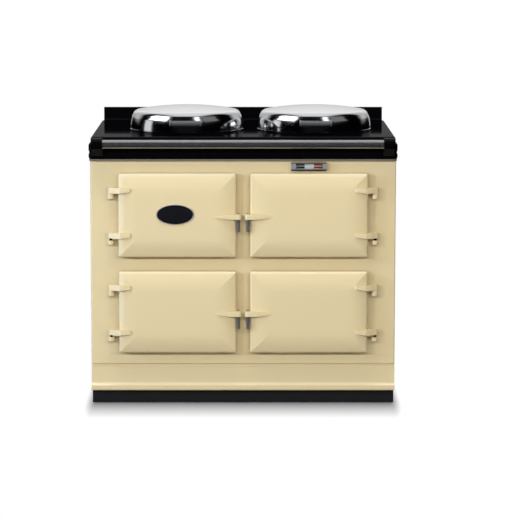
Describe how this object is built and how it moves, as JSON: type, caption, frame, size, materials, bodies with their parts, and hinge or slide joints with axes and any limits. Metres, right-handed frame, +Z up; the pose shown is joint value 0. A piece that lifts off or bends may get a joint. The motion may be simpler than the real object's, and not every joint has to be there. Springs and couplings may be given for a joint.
{
  "type": "range cooker",
  "caption": "Enamelled heat-storage range cooker with hinged oven doors on coiled grips, round hotplates under hinged domed lids, a hand rail and a recessed plinth.",
  "frame": {"origin": "on the floor, under the middle of the bounding box", "axes": "+Z up, the front faces -Y, +X to the right as seen from the front"},
  "size_m": [0.987, 0.6979, 0.944],
  "materials": {
    "cream_enamel": "gloss enamel",
    "black_enamel": "gloss enamel",
    "plinth_black": "satin",
    "chrome": "polished",
    "ground_iron": "ground",
    "raw_iron": "as cast",
    "sheet_steel": "satin",
    "mineral_wool": "matt",
    "rope_seal": "matt",
    "knob_black": "matt",
    "switch_red": "gloss",
    "dial": "satin",
    "window": "clear",
    "needle": "gloss"
  },
  "bodies": {
    "casing": {"base_plinth": "plinth_black", "base_plate": "raw_iron", "lower_skirt": "cream_enamel", "front_plate": "cream_enamel", "left_side_panel": "cream_enamel", "right_side_panel": "cream_enamel", "back_panel": "sheet_steel", "top_plate": "black_enamel", "rear_upstand": "black_enamel", "hand_rail": "chrome", "hand_rail_brackets": "black_enamel", "boiling_plate": "ground_iron", "simmering_plate": "ground_iron", "heat_core": "raw_iron", "heating_elements": "sheet_steel", "roasting_oven": "raw_iron", "baking_oven": "raw_iron", "simmering_oven": "raw_iron", "oven_shelves": "chrome", "insulation_slabs": "mineral_wool", "oven_door_seals": "rope_seal", "control_box": "sheet_steel", "heat_indicator_case": "chrome", "heat_indicator_dial": "dial", "heat_indicator_glass": "window", "door_hinge_brackets": "cream_enamel", "door_hinge_pins": "chrome", "door_catches": "chrome", "lid_hinges": "black_enamel", "rear_fittings": "sheet_steel"},
    "upper_left_door": {"upper_left_door_casting": "cream_enamel", "upper_left_door_insulation": "mineral_wool", "upper_left_door_liner": "sheet_steel", "upper_left_handle": "chrome", "upper_left_badge": "black_enamel"},
    "lower_left_door": {"lower_left_door_casting": "cream_enamel", "lower_left_door_insulation": "mineral_wool", "lower_left_door_liner": "sheet_steel", "lower_left_handle": "chrome"},
    "upper_right_door": {"upper_right_door_casting": "cream_enamel", "upper_right_door_insulation": "mineral_wool", "upper_right_door_liner": "sheet_steel", "upper_right_handle": "chrome"},
    "lower_right_door": {"lower_right_door_casting": "cream_enamel", "lower_right_door_insulation": "mineral_wool", "lower_right_door_liner": "sheet_steel", "lower_right_handle": "chrome"},
    "boiling_lid": {"boiling_lid_dome": "chrome", "boiling_lid_insulation": "mineral_wool", "boiling_lid_liner": "sheet_steel", "boiling_lid_hinge_arm": "chrome", "boiling_lid_handle": "chrome"},
    "simmering_lid": {"simmering_lid_dome": "chrome", "simmering_lid_insulation": "mineral_wool", "simmering_lid_liner": "sheet_steel", "simmering_lid_hinge_arm": "chrome", "simmering_lid_handle": "chrome"},
    "thermostat_knob": {"thermostat_knob": "knob_black"},
    "power_switch": {"power_switch": "switch_red"},
    "indicator_needle": {"heat_indicator_needle": "needle"}
  },
  "joints": [
    {"name": "upper_left_door_swing", "type": "hinge", "parent": "casing", "child": "upper_left_door", "pos_m": [-0.422, -0.3045, 0.617], "axis": [0, 0, 1], "range_deg": [-110, 0]},
    {"name": "lower_left_door_swing", "type": "hinge", "parent": "casing", "child": "lower_left_door", "pos_m": [-0.422, -0.3045, 0.304], "axis": [0, 0, 1], "range_deg": [-110, 0]},
    {"name": "upper_right_door_swing", "type": "hinge", "parent": "casing", "child": "upper_right_door", "pos_m": [0.422, -0.3045, 0.617], "axis": [0, 0, 1], "range_deg": [0, 110]},
    {"name": "lower_right_door_swing", "type": "hinge", "parent": "casing", "child": "lower_right_door", "pos_m": [0.422, -0.3045, 0.304], "axis": [0, 0, 1], "range_deg": [0, 110]},
    {"name": "boiling_lid_lift", "type": "hinge", "parent": "casing", "child": "boiling_lid", "pos_m": [-0.1856, 0.2365, 0.89], "axis": [-1, 0, 0], "range_deg": [0, 95]},
    {"name": "simmering_lid_lift", "type": "hinge", "parent": "casing", "child": "simmering_lid", "pos_m": [0.2344, 0.2365, 0.89], "axis": [-1, 0, 0], "range_deg": [0, 95]},
    {"name": "thermostat_turn", "type": "hinge", "parent": "casing", "child": "thermostat_knob", "pos_m": [-0.285, -0.2195, 0.617], "axis": [0, -1, 0], "range_deg": [0, 270]},
    {"name": "power_rock", "type": "hinge", "parent": "casing", "child": "power_switch", "pos_m": [-0.13, -0.1995, 0.617], "axis": [1, 0, 0], "range_deg": [-14, 0]},
    {"name": "needle_travel", "type": "slide", "parent": "casing", "child": "indicator_needle", "axis": [1, 0, 0], "range_m": [-0.036, 0.036]}
  ]
}
